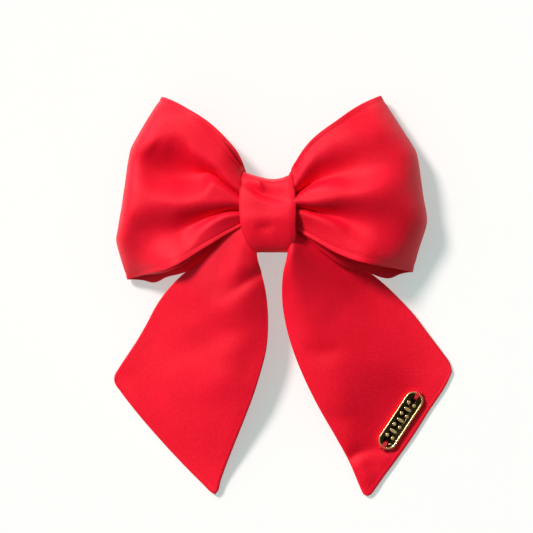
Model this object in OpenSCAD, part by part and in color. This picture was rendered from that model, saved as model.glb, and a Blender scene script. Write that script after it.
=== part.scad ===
// Satin hair bow sewn round a sprung barrette, lying on its back with the barrette closed.
// +X points to the loop above the tagged tail, +Y to the loops' upper corners, and +Z
// comes out of the bow's front. The origin is under the middle of the knot, on the plane
// that the bow lies on. All sizes are in millimetres.

/* [Loops] */
// Width across both loops
bow_width = 121; // [116:1:124]
// Height of a loop between its lower and its upper corner
loop_height = 69; // [66:1:70]
// Fullness of a loop at its middle, between the front and the back layer
loop_depth = 16; // [15:0.5:17]
// Thickness of the doubled cloth
cloth_t = 1.1; // [0.9:0.1:1.1]

/* [Tails] */
// Reach of the tails below the middle of the knot
tail_length = 111; // [105:1:118]
// Thickness of a tail, two layers of cloth
tail_t = 1.2; // [1:0.1:1.2]

/* [Knot] */
// Width of the knot band across its front
knot_w = 21.8; // [21:0.1:23]
// Height of the knot band
knot_h = 30; // [30:0.5:32]
// Height of the knot's front above the plane that the bow lies on
knot_top = 27; // [26.5:0.1:29]

/* [Tag] */
// Length of the metal tag
tag_l = 26; // [24:0.5:28]
// Width of the metal tag
tag_w = 7.3; // [7:0.1:8]
// Thickness of the tag's plate
tag_t = 1; // [0.8:0.1:1.2]

/* [Barrette] */
// Length of the barrette's base along its chord
base_l = 76; // [76:1:78]
// Width of the base
base_w = 9; // [8:0.5:9]
// Thickness of the base and of the arm
strip_t = 0.8; // [0.6:0.1:0.8]
// Radius of the hinge pin
pin_r = 0.6; // [0.5:0.05:0.6]

/* [Hidden] */

satin = [0.93, 0.12, 0.2];
satin_dark = [0.75, 0.05, 0.12];
gold = [0.86, 0.68, 0.36];
steel = [0.75, 0.76, 0.78];

// Outlines follow the bow's drape; these stretch them to the driving sizes.
kx = bow_width / 121;
ky = loop_height / 69;
kt = tail_length / 111;

// Where the cloth leaves the knot
knot_half_w = knot_w / 2;
loop_start_x = knot_half_w - 0.7;
knot_mid_y = -0.5;
loop_back_z = 13.9;
knot_gap = 8.6;
fold_gap = 15;
fold_sharpness = 12;
loop_drop = 17.4;

// Fold lines of the two loops, from the lower to the upper corner
left_fold = [[-55.5, -24], [-62, -8], [-56.5, 23], [-41.4, 44.9]];
right_fold = [[57, -22.4], [66, -3], [60, 27], [44.1, 45.3]];
// Middle of each loop's lower and upper edge, as the handle of a curve
left_handles = [[-34, -22], [-27.3, 43.8]];
right_handles = [[27.3, -19.2], [28.2, 41.2]];

// The tails are cut at this line, where they lift
hinge_y = -24.5;
hinge_gap = 0.3;
above_y = hinge_y + hinge_gap;
below_y = hinge_y - hinge_gap;
left_hinge_z = 11.6;
tip_z = 0.75;

// Edges of the tails: start, handle and end of a curve each, inner edge first
left_upper = [
    [[-11, -12, 17], [-7, -17.5, 15], [-2.3, above_y, left_hinge_z]],
    [[-11, -5.2, 17], [-19, -13, 15.6], [-33.5, above_y, left_hinge_z]]];
left_lower = [
    [[-2.2, below_y, left_hinge_z], [5, -62, 12], [-20.4, -110.4, tip_z]],
    [[-34, below_y, left_hinge_z], [-47, -41, 7], [-60, -66.5, tip_z]]];
right_upper = [
    [[10.6, -11, 12], [8, -17, 9.5], [6.3, above_y, 7]],
    [[10.6, -5.9, 12], [24, -14, 7], [41.7, above_y, 2.1]]];
right_lower = [
    [[6.2, below_y, 7], [2.7, -52, 6], [38.5, -111, tip_z]],
    [[42, below_y, 2], [59, -39, 1.2], [72.6, -63.5, tip_z]]];
hem_bow = 2.2;

// Barrette: the base and the arm are arcs that bend down at their ends
base_mid_z = 13;
base_r = 94;
base_turn = asin(base_l / 2 / base_r);
end_hole_r = 0.9;
end_hole_turn = asin(-31 / base_r);
pin_x = -37.5;
pin_z = 1.5;
pin_clearance = 0.05;
ear_gap = 6;
ear_t = 0.8;
arm_w = 5;
arm_mid_z = 4.4;
arm_r = 181.25;
arm_half = 30;
arm_end_z = 1.1;
window_x = [31.2, 35.8];
window_w = 5.8;
frame_w = 9;
tongue_x = 41;
spring_w = 4;
spring_t = 0.4;
spring_mid_z = 10.2;
spring_r = 146.7;
spring_half = 30;
clasp_x = [31.6, 35.3];
tab_t = 0.5;
tab_y = 2.4;
tab_z = [0.3, 3.7];
bracket_t = 0.5;
rivet_r = 0.9;
rivet_turn = asin(33.3 / base_r);

function mix_of(a, b, t) = a * (1 - t) + b * t;
function bezier(p, t) =
    len(p) == 1 ? p[0] : bezier([for (i = [0:len(p) - 2]) mix_of(p[i], p[i + 1], t)], t);
function signed_pow(a, e) = sign(a) * pow(abs(a), e);

// A sheet of cloth of even thickness laid along f(s, v), s and v from 0 to 1.
module sheet(f, t, n, m) {
    d = 0.01;
    function along_s(s, v) = f(min(1, s + d), v) - f(max(0, s - d), v);
    function along_v(s, v) = f(s, min(1, v + d)) - f(s, max(0, v - d));
    function out_at(s, v) =
        let (c = cross(along_s(s, v), along_v(s, v))) c / norm(c) * t / 2;
    outer = [for (i = [0:n], j = [0:m]) f(i / n, j / m) + out_at(i / n, j / m)];
    inner = [for (i = [0:n], j = [0:m]) f(i / n, j / m) - out_at(i / n, j / m)];
    count = len(outer);
    function at(i, j) = i * (m + 1) + j;
    function wall(a, b) = [[a, b, b + count], [a, b + count, a + count]];
    faces = [
        for (i = [0:n - 1], j = [0:m - 1])
            each [[at(i, j), at(i + 1, j + 1), at(i + 1, j)], [at(i, j), at(i, j + 1), at(i + 1, j + 1)]],
        for (i = [0:n - 1], j = [0:m - 1])
            each [[at(i, j), at(i + 1, j), at(i + 1, j + 1)] + [1, 1, 1] * count,
                  [at(i, j), at(i + 1, j + 1), at(i, j + 1)] + [1, 1, 1] * count],
        for (i = [0:n - 1]) each concat(wall(at(i, 0), at(i + 1, 0)), wall(at(i + 1, m), at(i, m))),
        for (j = [0:m - 1]) each concat(wall(at(0, j + 1), at(0, j)), wall(at(n, j), at(n, j + 1)))];
    polyhedron(concat(outer, inner), faces);
}

// A gathered bundle of cloth along X: an ellipse that narrows to its waist.
module bundle(half_x, y, z, ry, rz, waist) {
    n = 10;
    m = 20;
    function ring(i) =
        let (x = (2 * i / n - 1) * half_x, k = pow(abs(x) / half_x, 1.6))
        [for (j = [0:m - 1])
            [x, y + mix_of(waist, ry, k) * cos(360 * j / m), z + mix_of(waist, rz, k) * sin(360 * j / m)]];
    points = [for (i = [0:n]) each ring(i)];
    function at(i, j) = i * m + j % m;
    faces = [
        [for (j = [0:m - 1]) at(0, j)],
        [for (j = [m - 1:-1:0]) at(n, j)],
        for (i = [0:n - 1], j = [0:m - 1])
            each [[at(i, j), at(i + 1, j), at(i + 1, j + 1)], [at(i, j), at(i + 1, j + 1), at(i, j + 1)]]];
    polyhedron(points, faces);
}

// A strip bent round the Y axis, its outer face of radius r, between two turns from upright.
module bent_strip(r, t, w, from, to) {
    rotate([90, 0, 0])
        rotate_extrude(angle = to - from, start = 90 - to, $fn = 360)
            translate([r - t, -w / 2])
                square([t, w]);
}

module ring_thread(r, thread_r) {
    rotate_extrude($fn = 48)
        translate([r, 0])
            circle(r = thread_r, $fn = 16);
}

// One loop: out along the front layer, round the fold and back along the back layer.
module loop(fold, handles, side, low_y, high_y) {
    function back_z(u) = loop_back_z - loop_drop * pow(u, 2.2);
    function gap(u) = bezier([knot_gap, 2 * loop_depth - (knot_gap + fold_gap) / 2, fold_gap], u);
    function cloth(s, v) =
        let (u = sin(180 * s),
             start = [side * loop_start_x, mix_of(low_y, high_y, v)],
             plan = bezier([start, mix_of(handles[0], handles[1], v), bezier(fold, v)], u),
             half = gap(u) / 2 * sqrt(max(0, 1 - pow(u, fold_sharpness))))
        [plan.x * kx, plan.y * ky, back_z(u) + gap(u) / 2 + (s < 0.5 ? half : -half)];
    mirrored = side > 0 ? function(s, v) cloth(s, v) : function(s, v) cloth(s, 1 - v);
    sheet(mirrored, cloth_t, 32, 8);
}

module left_loop() {
    color(satin)
        loop(left_fold, left_handles, -1, -4.6, 12.6);
}

module right_loop() {
    color(satin)
        loop(right_fold, right_handles, 1, -5.3, 12.6);
}

module loop_centre() {
    color(satin_dark)
        bundle(loop_start_x - 0.6, 4.6, 19.4, 8.4, 6, 5.4);
}

module tail_centre() {
    color(satin_dark)
        bundle(loop_start_x - 0.6, -9.4, 18, 4.4, 4.8, 3.4);
}

// A tail's stretch of cloth between its two edges.
module tail(edges, hem, side) {
    function cloth(s, v) =
        let (a = bezier(edges[0], s), b = bezier(edges[1], s), p = mix_of(a, b, v),
             bow = hem * 4 * v * (1 - v) * pow(s, 4))
        [p.x * kx + side * bow * 0.7, p.y * (p.y < hinge_y ? mix_of(1, kt, s) : 1) - bow, p.z];
    turned = side > 0 ? function(s, v) cloth(s, 1 - v) : function(s, v) cloth(s, v);
    sheet(turned, tail_t, 16, 8);
}

module left_tail_upper() {
    color(satin)
        tail(left_upper, 0, -1);
}

module left_tail_lower() {
    color(satin)
        tail(left_lower, hem_bow, -1);
}

module right_tail_upper() {
    color(satin)
        tail(right_upper, 0, 1);
}

module right_tail_lower() {
    color(satin)
        tail(right_lower, hem_bow, 1);
}

// The band goes once round the knot and meets itself under the barrette's base.
module knot_band() {
    back_z = 10.95;
    band_t = 1.1;
    seam_turn = 1.2;
    front_z = knot_top - band_t / 2;
    function half_width(a) =
        7.5 + (knot_half_w - 7.5) * sqrt((1 + sin(a)) / 2) - 1.2 * max(0, -cos(a));
    function cloth(s, v) =
        let (a = mix_of(-90 + seam_turn, 270 - seam_turn, s))
        [(2 * v - 1) * half_width(a),
         knot_mid_y + (knot_h - band_t) / 2 * signed_pow(cos(a), 2 / 3),
         (front_z + back_z) / 2 + (front_z - back_z) / 2 * signed_pow(sin(a), 2 / 3)];
    color(satin)
        sheet(function(s, v) cloth(s, v), band_t, 48, 4);
}

// Whip stitches that close the band's seam at its back.
module knot_band_stitches() {
    color(satin_dark)
        for (x = [-5:2.5:5])
            translate([x, knot_mid_y, 10.95])
                rotate([0, 90, 0])
                    ring_thread(0.7, 0.12);
}

// Thread wound round the waist of the gathered loops and of the gathered tails.
module gathering_thread() {
    color(satin_dark)
        for (waist = [[4.6, 19.4, 5.4], [-9.4, 18, 3.4]], x = [-1.05:0.7:1.05])
            translate([x, waist[0], waist[1]])
                rotate([0, 90, 0])
                    ring_thread(waist[2] + 0.45, 0.25);
}

tag_at = [52.5, -81.6];
tag_turn = 56.5;
tag_z = 2.6;
tag_hole_x = tag_l / 2 - 2.5;
tag_hole_r = 0.8;

module stadium(l, w, h) {
    translate([-(l - w) / 2, -w / 2, 0])
        cube([l - w, w, h]);
    for (side = [-1, 1])
        translate([side * (l - w) / 2, 0, 0])
            cylinder(h = h, r = w / 2, $fn = 64);
}

module place_tag() {
    translate([tag_at.x, tag_at.y, tag_z])
        rotate([0, 0, tag_turn])
            children();
}

// A round-ended plate with a raised rim, a row of raised studs and a sewing hole at each end.
module name_tag() {
    rim_w = 0.7;
    rim_h = 0.35;
    stud_step = 2.7;
    color(gold)
        place_tag()
            difference() {
                union() {
                    stadium(tag_l, tag_w, tag_t);
                    difference() {
                        stadium(tag_l, tag_w, tag_t + rim_h);
                        translate([0, 0, -1])
                            stadium(tag_l - 2 * rim_w, tag_w - 2 * rim_w, tag_t + rim_h + 2);
                    }
                    for (i = [-3:3])
                        translate([i * stud_step, 0, 0])
                            cylinder(h = tag_t + rim_h, r = i % 2 == 0 ? 0.95 : 0.6, $fn = 32);
                }
                for (side = [-1, 1])
                    translate([side * tag_hole_x, 0, -1])
                        cylinder(h = tag_t + 2, r = tag_hole_r, $fn = 32);
            }
}

// Three turns of thread through a hole, over the tag's end and into the tail.
module tag_stitch(side) {
    stitch_r = 1.75;
    color(satin_dark)
        place_tag()
            for (y = [-0.5, 0, 0.5])
                translate([side * (tag_hole_x + stitch_r), y, tag_t / 2])
                    rotate([90, 0, 0])
                        ring_thread(stitch_r, 0.22);
}

module tag_stitch_upper() {
    tag_stitch(1);
}

module tag_stitch_lower() {
    tag_stitch(-1);
}

module on_base_arc(turn) {
    translate([0, 0, base_mid_z - base_r])
        rotate([0, turn, 0])
            translate([0, 0, base_r])
                children();
}

// Curved plate with a sewing hole at one end, the rivet's hole at the other, and hinge ears.
module barrette_base() {
    ear_r = 1.4;
    color(steel)
        difference() {
            union() {
                translate([0, 0, base_mid_z - base_r])
                    bent_strip(base_r, strip_t, base_w, -base_turn, base_turn);
                for (side = [-1, 1])
                    translate([pin_x, side * (ear_gap + ear_t) / 2, pin_z])
                        rotate([90, 0, 0]) {
                            cylinder(h = ear_t, r = ear_r, center = true, $fn = 48);
                            translate([-ear_r * 0.35, 0, -ear_t / 2])
                                cube([ear_r * 1.35, 3.1, ear_t]);
                        }
            }
            translate([pin_x, 0, pin_z])
                rotate([90, 0, 0])
                    cylinder(h = 2 * ear_gap, r = pin_r + 0.02, center = true, $fn = 48);
            on_base_arc(end_hole_turn)
                cylinder(h = 6, r = end_hole_r, center = true, $fn = 48);
            on_base_arc(rivet_turn)
                cylinder(h = 6, r = rivet_r + 0.02, center = true, $fn = 48);
        }
}

// The arm that closes over the hair: knuckle, bowed strip and a frame that the tabs reach through.
module barrette_arm() {
    knuckle_r = 1.3;
    tongue_w = 5;
    arm_turn = asin(arm_half / arm_r);
    color(steel)
        difference() {
            union() {
                translate([0, 0, arm_mid_z - arm_r])
                    bent_strip(arm_r, strip_t, arm_w, -arm_turn, arm_turn);
                translate([pin_x, -arm_w / 2, arm_end_z])
                    cube([-arm_half - pin_x + 0.2, arm_w, strip_t]);
                translate([pin_x, 0, pin_z])
                    rotate([90, 0, 0])
                        cylinder(h = arm_w, r = knuckle_r, center = true, $fn = 48);
                translate([arm_half - 0.4, -frame_w / 2, arm_end_z])
                    cube([window_x[1] + 1.4 - arm_half + 0.4, frame_w, strip_t]);
                translate([window_x[1], -tongue_w / 2, arm_end_z])
                    cube([tongue_x - window_x[1], tongue_w, strip_t]);
            }
            translate([pin_x, 0, pin_z])
                rotate([90, 0, 0])
                    cylinder(h = 2 * arm_w, r = pin_r + pin_clearance, center = true, $fn = 48);
            translate([window_x[0], -window_w / 2, 0])
                cube([window_x[1] - window_x[0], window_w, 5]);
        }
}

// Pin with a flat head outside each ear.
module hinge_pin() {
    head_t = 0.5;
    pin_l = ear_gap + 2 * ear_t + 0.1;
    color(steel)
        translate([pin_x, 0, pin_z])
            rotate([90, 0, 0]) {
                cylinder(h = pin_l, r = pin_r, center = true, $fn = 48);
                for (side = [-1, 1])
                    translate([0, 0, side * (pin_l + head_t) / 2])
                        cylinder(h = head_t, r = 1, center = true, $fn = 48);
            }
}

// Thin bowed strip under the base that presses on the hair.
module tension_spring() {
    spring_turn = asin(spring_half / spring_r);
    color(steel)
        translate([0, 0, spring_mid_z - spring_r])
            bent_strip(spring_r, spring_t, spring_w, -spring_turn, spring_turn);
}

// Small plate riveted under the base's end, with a lug that carries each tab.
module clasp_bracket() {
    lug_z = tab_z[1] + 0.3;
    lug_depth = 2.6;
    plate_r = base_r - strip_t;
    from = asin(clasp_x[0] / base_r);
    to = asin(clasp_x[1] / base_r);
    color(steel)
        difference() {
            union() {
                translate([0, 0, base_mid_z - base_r])
                    bent_strip(plate_r, bracket_t, 2 * tab_y + tab_t, from, to);
                for (side = [-1, 1])
                    translate([0, side * tab_y, base_mid_z - base_r])
                        bent_strip(plate_r, lug_depth, tab_t, from, to);
            }
            translate([clasp_x[0] - 5, -base_w / 2, lug_z - 5])
                cube([15, base_w, 5]);
            on_base_arc(rivet_turn)
                cylinder(h = 6, r = rivet_r + 0.02, center = true, $fn = 48);
        }
}

module clasp_rivet() {
    shank = strip_t + bracket_t;
    head_t = 0.4;
    color(steel)
        on_base_arc(rivet_turn) {
            translate([0, 0, -shank])
                cylinder(h = shank, r = rivet_r, $fn = 48);
            cylinder(h = head_t, r = 1.5, $fn = 48);
            translate([0, 0, -shank - head_t - 0.03])
                cylinder(h = head_t + 0.03, r = rivet_r, $fn = 48);
            translate([0, 0, -shank - head_t - 0.03])
                cylinder(h = head_t, r = 1.4, $fn = 48);
        }
}

// A squeeze tab: a wing through the arm's frame, a catch bead, and a finger pad past the base.
module clasp_tab(side) {
    pad_z = [2.4, 3.6];
    pad_x = 41.5;
    bead_r = 0.3;
    color(steel)
        translate([0, side * tab_y, 0]) {
            translate([clasp_x[0], -tab_t / 2, tab_z[0]])
                cube([clasp_x[1] - clasp_x[0], tab_t, tab_z[1] - tab_z[0]]);
            translate([clasp_x[0], -tab_t / 2, pad_z[0]])
                cube([pad_x - clasp_x[0], tab_t, pad_z[1] - pad_z[0]]);
            translate([pad_x, 0, (pad_z[0] + pad_z[1]) / 2])
                rotate([90, 0, 0])
                    cylinder(h = tab_t, r = (pad_z[1] - pad_z[0]) / 2, center = true, $fn = 32);
            translate([clasp_x[0], side * tab_t / 2 - side * 0.15, 0.65])
                rotate([0, 90, 0])
                    cylinder(h = clasp_x[1] - clasp_x[0], r = bead_r, $fn = 24);
        }
}

module clasp_tab_upper() {
    clasp_tab(1);
}

module clasp_tab_lower() {
    clasp_tab(-1);
}

left_loop();
right_loop();
loop_centre();
left_tail_upper();
left_tail_lower();
right_tail_upper();
right_tail_lower();
tail_centre();
knot_band();
knot_band_stitches();
gathering_thread();
name_tag();
tag_stitch_upper();
tag_stitch_lower();
barrette_base();
barrette_arm();
hinge_pin();
tension_spring();
clasp_bracket();
clasp_rivet();
clasp_tab_upper();
clasp_tab_lower();
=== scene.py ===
"""Satin hair bow on its barrette: cloth, thread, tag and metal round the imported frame."""

import math

import bpy
import numpy as np
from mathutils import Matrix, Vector, noise


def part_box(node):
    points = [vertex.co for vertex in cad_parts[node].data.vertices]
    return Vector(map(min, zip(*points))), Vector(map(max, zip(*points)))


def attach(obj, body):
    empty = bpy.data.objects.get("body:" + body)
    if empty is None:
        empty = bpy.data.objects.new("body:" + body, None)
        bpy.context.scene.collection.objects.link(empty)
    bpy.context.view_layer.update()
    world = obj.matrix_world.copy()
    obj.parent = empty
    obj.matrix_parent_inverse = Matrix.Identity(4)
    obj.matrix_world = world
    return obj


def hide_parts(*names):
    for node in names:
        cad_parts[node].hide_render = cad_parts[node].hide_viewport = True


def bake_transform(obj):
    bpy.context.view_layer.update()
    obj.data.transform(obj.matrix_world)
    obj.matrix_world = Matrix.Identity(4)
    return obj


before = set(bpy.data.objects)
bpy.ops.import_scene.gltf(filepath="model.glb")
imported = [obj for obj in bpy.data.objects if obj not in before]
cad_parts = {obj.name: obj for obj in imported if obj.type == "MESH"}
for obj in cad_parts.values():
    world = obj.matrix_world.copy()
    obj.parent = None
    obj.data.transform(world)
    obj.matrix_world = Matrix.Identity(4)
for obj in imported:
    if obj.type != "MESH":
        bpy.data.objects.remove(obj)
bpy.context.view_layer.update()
MM = 0.001


# ---------------------------------------------------------------- curves and relief
def curve(points):
    """Smooth curve through points, run from 0 to 1 by the length of its chords in plan."""
    p = np.array(points, float)
    d = np.linalg.norm(np.diff(p[:, :2], axis=0), axis=1)
    t = np.r_[0, np.cumsum(d)] / d.sum()
    m = np.gradient(p, t, axis=0)

    def at(u):
        u = np.clip(np.asarray(u, float), 0, 1)
        i = np.clip(np.searchsorted(t, u, side="right") - 1, 0, len(t) - 2)
        h = (t[i + 1] - t[i])[..., None]
        w = (u - t[i])[..., None] / h
        return (
            (2 * w**3 - 3 * w**2 + 1) * p[i]
            + (w**3 - 2 * w**2 + w) * h * m[i]
            + (3 * w**2 - 2 * w**3) * p[i + 1]
            + (w**3 - w**2) * h * m[i + 1]
        )

    return at


def graph(pairs):
    """Smooth function of one number through (number, value) pairs."""
    x, y = np.array(pairs, float).T
    m = np.gradient(y, x)

    def at(u):
        u = np.clip(np.asarray(u, float), x[0], x[-1])
        i = np.clip(np.searchsorted(x, u, side="right") - 1, 0, len(x) - 2)
        h = x[i + 1] - x[i]
        w = (u - x[i]) / h
        return (
            (2 * w**3 - 3 * w**2 + 1) * y[i]
            + (w**3 - 2 * w**2 + w) * h * m[i]
            + (3 * w**2 - 2 * w**3) * y[i + 1]
            + (w**3 - w**2) * h * m[i + 1]
        )

    return at


def smooth(a, b, x):
    t = np.clip((x - a) / (b - a), 0, 1)
    return t * t * (3 - 2 * t)


def patch(low, high, near, far, u, v):
    """Point of a patch between a lower and an upper edge, run by u, and two ends, run by v."""
    one = np.ones_like(u)
    uu, vv = u[..., None], v[..., None]
    a, b, c, d = low(0 * one), low(one), high(0 * one), high(one)
    corners = (1 - uu) * ((1 - vv) * a + vv * c) + uu * ((1 - vv) * b + vv * d)
    return (1 - vv) * low(u) + vv * high(u) + (1 - uu) * near(v) + uu * far(v) - corners


def relief(x, y, line, soft=0.35):
    """Height of a crease or ridge at plan points x, y.

    The line is a list of (x, y, height, reach to its left, reach to its right). A short
    reach meets the line in a sharp edge, and a long one rounds into it."""
    q = curve(line)(np.linspace(0, 1, 50))
    a, step = q[:-1], np.diff(q, axis=0)
    ab = step[:, :2]
    pts = np.stack([x.ravel(), y.ravel()], 1)
    t = ((pts[:, None] - a[None, :, :2]) * ab).sum(2) / (ab**2).sum(1)
    t = np.clip(t, 0, 1)
    off = pts[:, None] - a[None, :, :2] - t[..., None] * ab
    d = np.hypot(off[..., 0], off[..., 1])
    k = d.argmin(1)
    rows = np.arange(len(k))
    side = ab[k, 0] * off[rows, k, 1] - ab[k, 1] * off[rows, k, 0]
    data = a[k, 2:] + t[rows, k, None] * step[k, 2:]
    reach = np.where(side > 0, data[:, 1], data[:, 2])
    d = np.sqrt(d[rows, k] ** 2 + soft**2) - soft
    far = np.clip(d / reach, 0, 1)
    rounded = smooth(4, 11, reach)
    fall = (1 - rounded) * (1 - far) ** 2 + rounded * (1 - smooth(0, 1, far))
    return (data[:, 0] * fall).reshape(x.shape)


def noise_field(p, scale, seed):
    """Soft noise between about -1 and 1 at points p, with features about scale across."""
    shape = p.shape[:-1]
    flat = p.reshape(-1, 3) / scale + seed * 7.31
    return np.array([noise.noise(Vector(q)) for q in flat]).reshape(shape)


def normals_of(m):
    c = np.cross(np.gradient(m, axis=0), np.gradient(m, axis=1))
    return c / np.maximum(np.linalg.norm(c, axis=2, keepdims=True), 1e-9)


def blur(a, times):
    """Evens out a grid of points along both of its directions, with its border kept."""
    for _ in range(times):
        b = a.copy()
        b[1:-1] = (a[:-2] + 2 * a[1:-1] + a[2:]) / 4
        b[:, 1:-1] = (b[:, :-2] + 2 * b[:, 1:-1] + b[:, 2:]) / 4
        a = b
    return a


# ---------------------------------------------------------------- meshes
def make_mesh(name, points, faces, material, cloth=None):
    """Object from points in millimetres; cloth holds each point's place on the flat cloth."""
    mesh = bpy.data.meshes.new(name)
    mesh.from_pydata((np.asarray(points) * MM).tolist(), [], faces)
    if cloth is not None:
        layer = mesh.attributes.new("cloth", "FLOAT_VECTOR", "POINT")
        layer.data.foreach_set("vector", np.asarray(cloth, np.float32).ravel())
    mesh.validate()
    mesh.polygons.foreach_set("use_smooth", [True] * len(mesh.polygons))
    mesh.materials.append(material)
    mesh.update()
    obj = bpy.data.objects.new(name, mesh)
    bpy.context.collection.objects.link(obj)
    return obj


def grid_length(m):
    """Place of each point of a grid on the flat cloth, in millimetres."""
    ds = np.linalg.norm(np.diff(m, axis=0), axis=2).mean(1)
    dv = np.linalg.norm(np.diff(m, axis=1), axis=2)
    s = np.r_[0, np.cumsum(ds)]
    v = np.concatenate([np.zeros((len(m), 1)), np.cumsum(dv, axis=1)], axis=1)
    v = v / v[:, -1:] * v[:, -1].max()
    return np.stack([np.broadcast_to(s[:, None], v.shape), v, 0 * v], 2)


def grid_faces(rows, count):
    """Faces between rows of points that each close into a ring."""
    return [
        (i * count + j, i * count + (j + 1) % count, (i + 1) * count + (j + 1) % count, (i + 1) * count + j)
        for i in range(rows - 1)
        for j in range(count)
    ]


def strip(name, m, t, material, lip=None):
    """Doubled strip of cloth along the grid m, whose two long edges are turned seams.

    lip says how far the under ply stands out beyond the upper at the first edge, along s."""
    n = normals_of(m)
    ns, nv = m.shape[:2]
    turn = np.radians([68, 46, 26, 10, 0, -10, -26, -46, -68])
    flush = np.zeros(ns)
    place = grid_length(m)

    def edge(j, inward, extra):
        e = m[:, j] - m[:, inward]
        e /= np.linalg.norm(e, axis=1, keepdims=True)
        out = []
        for a in turn:
            r = 0.34 + 0.3 * abs(math.sin(2 * a)) ** 0.7
            up = math.copysign(abs(math.sin(a)) ** 0.8, a) * t / 2
            reach = r + (extra if a < 0 else flush)
            out.append(m[:, j] + n[:, j] * up + e * reach[:, None])
        return out

    first = edge(0, 3, flush if lip is None else lip)
    last = edge(nv - 1, nv - 4, flush)
    ring = [m[:, j] + n[:, j] * t / 2 for j in range(nv)]
    where = [place[:, j] for j in range(nv)]
    ring += last
    where += [place[:, -1] + [0, 0.3 * k, 0] for k in range(len(last))]
    ring += [m[:, j] - n[:, j] * t / 2 for j in range(nv - 1, -1, -1)]
    where += [place[:, j] + [0, 0, 5] for j in range(nv - 1, -1, -1)]
    ring += first[::-1]
    where += [place[:, 0] - [0, 0.3 * k, 0] for k in range(len(first))]
    points = np.stack(ring, 1)
    cloth = np.stack(where, 1)
    count = points.shape[1]
    faces = grid_faces(ns, count)
    under = [nv + len(last) + nv - 1 - j for j in range(nv)]
    for i, flip in ((0, False), (ns - 1, True)):
        rim = [i * count + j for j in range(count)]
        pairs = [
            (rim[j], rim[j + 1], rim[under[j + 1]], rim[under[j]])
            for j in range(nv - 1)
        ]
        pairs.append(tuple(rim[nv - 1 : nv + len(last) + 1]))
        pairs.append(tuple(rim[under[0] :] + [rim[0]]))
        faces += [f if flip else f[::-1] for f in pairs]
    return make_mesh(name, points.reshape(-1, 3), faces, material, cloth.reshape(-1, 3))


def pillow(name, m, t, rim, material):
    """Two plies of cloth sewn together all round the grid m, t thick, with a rounded rim."""
    n = normals_of(m)
    ns, nv = m.shape[:2]
    place = grid_length(m)
    along_s = place[..., 0]
    inset = np.minimum(
        np.minimum(place[..., 1], place[:, -1:, 1] - place[..., 1]),
        np.minimum(along_s, along_s[-1:] - along_s),
    )
    k = np.clip(inset / rim, 0, 1)
    half = np.sqrt(1 - (1 - k) ** 2) * t / 2
    half = half + 0.03 * np.exp(-(((inset - 1.0) / 0.5) ** 2))
    half = half - 0.05 * np.exp(-(((inset - 2.1) / 0.6) ** 2))
    half[0] = half[-1] = 0
    half[:, 0] = half[:, -1] = 0
    top = m + n * half[..., None]
    low = m - n * half[..., None]
    low[..., 2] = np.maximum(low[..., 2], 0.12)
    index = np.arange(ns * nv).reshape(ns, nv)
    inner = index.copy()
    inner[1:-1, 1:-1] = ns * nv + np.arange((ns - 2) * (nv - 2)).reshape(ns - 2, nv - 2)
    points = np.concatenate([top.reshape(-1, 3), low[1:-1, 1:-1].reshape(-1, 3)])
    cloth = np.concatenate([place.reshape(-1, 3), place[1:-1, 1:-1].reshape(-1, 3) + [0, 0, 5]])
    faces = []
    for i in range(ns - 1):
        for j in range(nv - 1):
            faces.append((index[i, j], index[i + 1, j], index[i + 1, j + 1], index[i, j + 1]))
            faces.append((inner[i, j], inner[i, j + 1], inner[i + 1, j + 1], inner[i + 1, j]))
    faces = [tuple(int(q) for q in f) for f in faces]
    return make_mesh(name, points, faces, material, cloth)


def tube_data(path, r, around=10, twist=1.2):
    """Points and faces of a two-ply thread along a closed path, in millimetres."""
    p = np.array(path, float)
    tangent = np.roll(p, -1, 0) - np.roll(p, 1, 0)
    tangent /= np.linalg.norm(tangent, axis=1, keepdims=True)
    side = np.cross(tangent[0], [0.3, 0.2, 0.93])
    side /= np.linalg.norm(side)
    step = np.linalg.norm(np.diff(p, axis=0), axis=1)
    run = np.r_[0, np.cumsum(step)]
    angle = np.linspace(0, 2 * np.pi, around, endpoint=False)
    points, cloth = [], []
    for i in range(len(p)):
        side = side - tangent[i] * (side @ tangent[i])
        side /= np.linalg.norm(side)
        up = np.cross(tangent[i], side)
        radius = r * (1 + 0.14 * np.cos(2 * (angle - twist * run[i] / r)))
        ring = p[i] + np.outer(np.cos(angle) * radius, side) + np.outer(np.sin(angle) * radius, up)
        points.append(ring)
        cloth.append(np.stack([np.full(around, run[i]), angle * r, 0 * angle], 1))
    n = len(p)
    faces = []
    for i in range(n):
        k = (i + 1) % n
        for j in range(around):
            l = (j + 1) % around
            faces.append((i * around + j, i * around + l, k * around + l, k * around + j))
    return np.concatenate(points), faces, np.concatenate(cloth)


def threads(name, paths, r, material):
    """One object of several threads."""
    points, faces, cloth, count = [], [], [], 0
    for path in paths:
        p, f, c = tube_data(path, r)
        faces += [tuple(q + count for q in face) for face in f]
        points.append(p)
        cloth.append(c)
        count += len(p)
    return make_mesh(name, np.concatenate(points), faces, material, np.concatenate(cloth))


# ---------------------------------------------------------------- materials
def new_material(name):
    mat = bpy.data.materials.new(name)
    mat.use_nodes = True
    tree = mat.node_tree
    return mat, tree, tree.nodes["Principled BSDF"]


def node(tree, kind, **inputs):
    made = tree.nodes.new(kind)
    for key, value in inputs.items():
        made.inputs[key.replace("_", " ")].default_value = value
    return made


def ramp(tree, stops):
    made = tree.nodes.new("ShaderNodeValToRGB")
    made.color_ramp.elements[0].position, made.color_ramp.elements[0].color = stops[0]
    made.color_ramp.elements[1].position, made.color_ramp.elements[1].color = stops[-1]
    for position, colour in stops[1:-1]:
        made.color_ramp.elements.new(position).color = colour
    return made


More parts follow.
